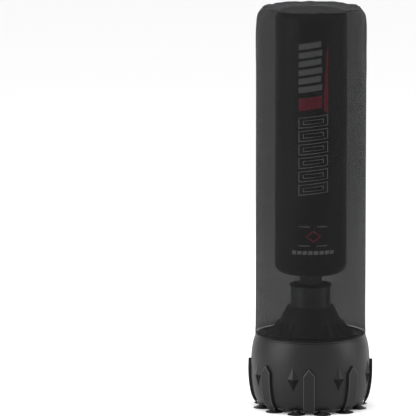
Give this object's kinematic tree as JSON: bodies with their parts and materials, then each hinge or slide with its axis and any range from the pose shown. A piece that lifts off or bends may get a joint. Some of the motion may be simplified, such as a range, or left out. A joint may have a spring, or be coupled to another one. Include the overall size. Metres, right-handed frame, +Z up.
{
  "type": "free-standing punching bag",
  "caption": "Free-standing punching bag: foam-filled cylinder on a sprung column, round water-filled base on suction cups, finned collar and a lift-off dust cover.",
  "frame": {"origin": "on the floor under the bag's axis, in the plane of the suction cups' lips", "axes": "+Z up along the bag; -Y towards the front, where the filler cap is; +X to the right of somebody who faces the front"},
  "size_m": [0.536, 0.5389, 1.733],
  "materials": {
    "tank_plastic": "moulded polyethylene, semi-gloss",
    "ballast_water": "clear liquid",
    "cup_rubber": "satin",
    "shroud_plastic": "satin",
    "dark_steel": "gloss powder coat",
    "zinc_steel": "zinc plated",
    "buffer_rubber": "matte",
    "spring_steel": "oiled",
    "core_plastic": "matte",
    "foam": "open-cell foam",
    "plywood": "raw plywood",
    "bag_leather": "semi-gloss grained synthetic leather",
    "bag_print_grey": "printed grey on the skin",
    "bag_print_red": "printed red on the skin",
    "zip_tape": "woven tape",
    "zip_metal": "dark nickel",
    "cover_fabric": null,
    "cord_braid": "braided polyester",
    "thread": "sewing thread"
  },
  "bodies": {
    "base": {"base_tank": "tank_plastic", "water_ballast": "ballast_water", "suction_cup_01": "cup_rubber", "suction_cup_02": "cup_rubber", "suction_cup_03": "cup_rubber", "suction_cup_04": "cup_rubber", "suction_cup_05": "cup_rubber", "suction_cup_06": "cup_rubber", "suction_cup_07": "cup_rubber", "suction_cup_08": "cup_rubber", "suction_cup_09": "cup_rubber", "suction_cup_10": "cup_rubber", "suction_cup_11": "cup_rubber", "suction_cup_12": "cup_rubber", "shroud_cone": "shroud_plastic", "shroud_screw_1": "zinc_steel", "shroud_screw_2": "zinc_steel", "shroud_screw_3": "zinc_steel", "shroud_screw_4": "zinc_steel", "collar_tube": "dark_steel", "collar_bolt_1": "zinc_steel", "collar_bolt_2": "zinc_steel", "collar_bolt_3": "zinc_steel", "collar_bolt_4": "zinc_steel", "collar_ring": "shroud_plastic", "lower_spring_seat": "dark_steel", "lower_buffer": "buffer_rubber", "upper_buffer": "buffer_rubber"},
    "sway_mid": {"sway_spring": "spring_steel"},
    "bag": {"upper_spring_seat": "dark_steel", "neck_tube": "dark_steel", "dust_dome": "buffer_rubber", "centre_pole": "zinc_steel", "pole_plug": "core_plastic", "core_tube": "core_plastic", "foam_wrap": "foam", "top_pad": "foam", "bottom_board": "plywood", "bag_bolt_1": "zinc_steel", "bag_bolt_2": "zinc_steel", "bag_bolt_3": "zinc_steel", "bag_bolt_4": "zinc_steel", "bag_skin": "bag_leather", "zip_tape": "zip_tape", "zip_teeth": "zip_metal"},
    "zip_slider": {"zip_slider": "zip_metal"},
    "zip_pull": {"zip_pull": "zip_metal"},
    "cap_seal": {"cap_gasket": "buffer_rubber"},
    "filler_cap": {"filler_cap": "shroud_plastic"},
    "cover": {"dust_cover": "cover_fabric", "eyelet_left": "zip_metal", "eyelet_right": "zip_metal", "drawcord_left": "cord_braid", "drawcord_right": "cord_braid", "cord_lock": "core_plastic", "lock_spring": "spring_steel"},
    "lock_button": {"lock_button": "core_plastic"}
  },
  "joints": [
    {"name": "sway_forward", "type": "hinge", "parent": "base", "child": "sway_mid", "pos_m": [0, 0, 0.485], "axis": [1, 0, 0], "range_deg": [-2.5, 2.5], "stiffness_Nm_per_rad": 700, "deforming": ["sway_spring"]},
    {"name": "sway_side", "type": "hinge", "parent": "sway_mid", "child": "bag", "pos_m": [0, 0, 0.485], "axis": [0, 1, 0], "range_deg": [-2.5, 2.5], "stiffness_Nm_per_rad": 700, "deforming": ["sway_spring"]},
    {"name": "cover_lift", "type": "slide", "parent": "base", "child": "cover", "axis": [0, 0, 1], "range_m": [0, 1.45]},
    {"name": "cap_lift", "type": "slide", "parent": "base", "child": "cap_seal", "axis": [0, 0, 1], "range_m": [0, 0.0081]},
    {"name": "cap_turn", "type": "hinge", "parent": "cap_seal", "child": "filler_cap", "pos_m": [0, -0.19, 0.325], "axis": [0, 0, 1], "range_deg": [0, 720]},
    {"name": "zip_slide", "type": "slide", "parent": "bag", "child": "zip_slider", "axis": [0, 0, 1], "range_m": [0, 0.98]},
    {"name": "zip_flap", "type": "hinge", "parent": "zip_slider", "child": "zip_pull", "pos_m": [0, 0.1652, 0.668], "axis": [1, 0, 0], "range_deg": [0, 150]},
    {"name": "lock_press", "type": "slide", "parent": "cover", "child": "lock_button", "axis": [0.2555, -0.9668, 0], "range_m": [0, 0.0025], "stiffness_N_per_m": 500, "deforming": ["lock_spring"]}
  ],
  "couplings": [
    {"joint": "cap_lift", "follows": "cap_turn", "m_per_rad": 0.00063662}
  ]
}
